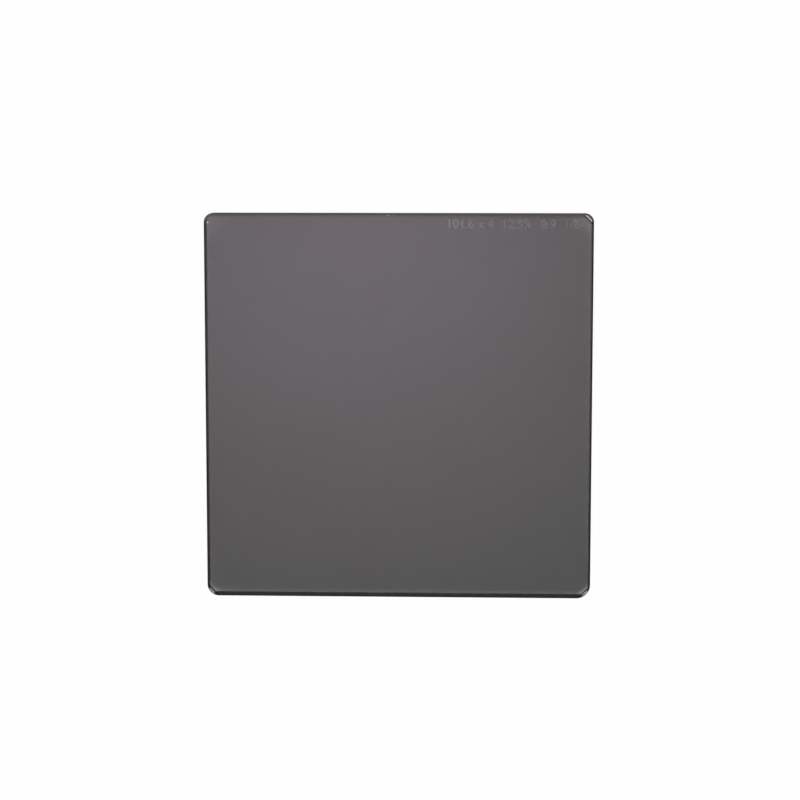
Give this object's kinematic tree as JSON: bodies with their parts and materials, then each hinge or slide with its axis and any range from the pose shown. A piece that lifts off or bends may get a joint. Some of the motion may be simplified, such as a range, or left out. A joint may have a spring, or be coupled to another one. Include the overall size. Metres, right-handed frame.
{
  "type": "square neutral density filter",
  "caption": "Square grey glass camera filter with rounded corners and ground bevelled rims, slid into a filter tray or holder in front of a lens to cut light.",
  "frame": {"origin": "middle of the rear face, which the plate lies on", "axes": "+Z along the optical axis from the rear face to the front face, +Y towards the top edge and +X to the right as the plate is read"},
  "size_m": [0.1016, 0.1016, 0.004],
  "materials": {
    "optical_glass": "polished faces, ground rims",
    "grey_layer": "dyed resin, neutral grey, see-through"
  },
  "bodies": {
    "root": {"rear_glass": "optical_glass", "density_layer": "grey_layer", "front_glass": "optical_glass"}
  },
  "joints": []
}
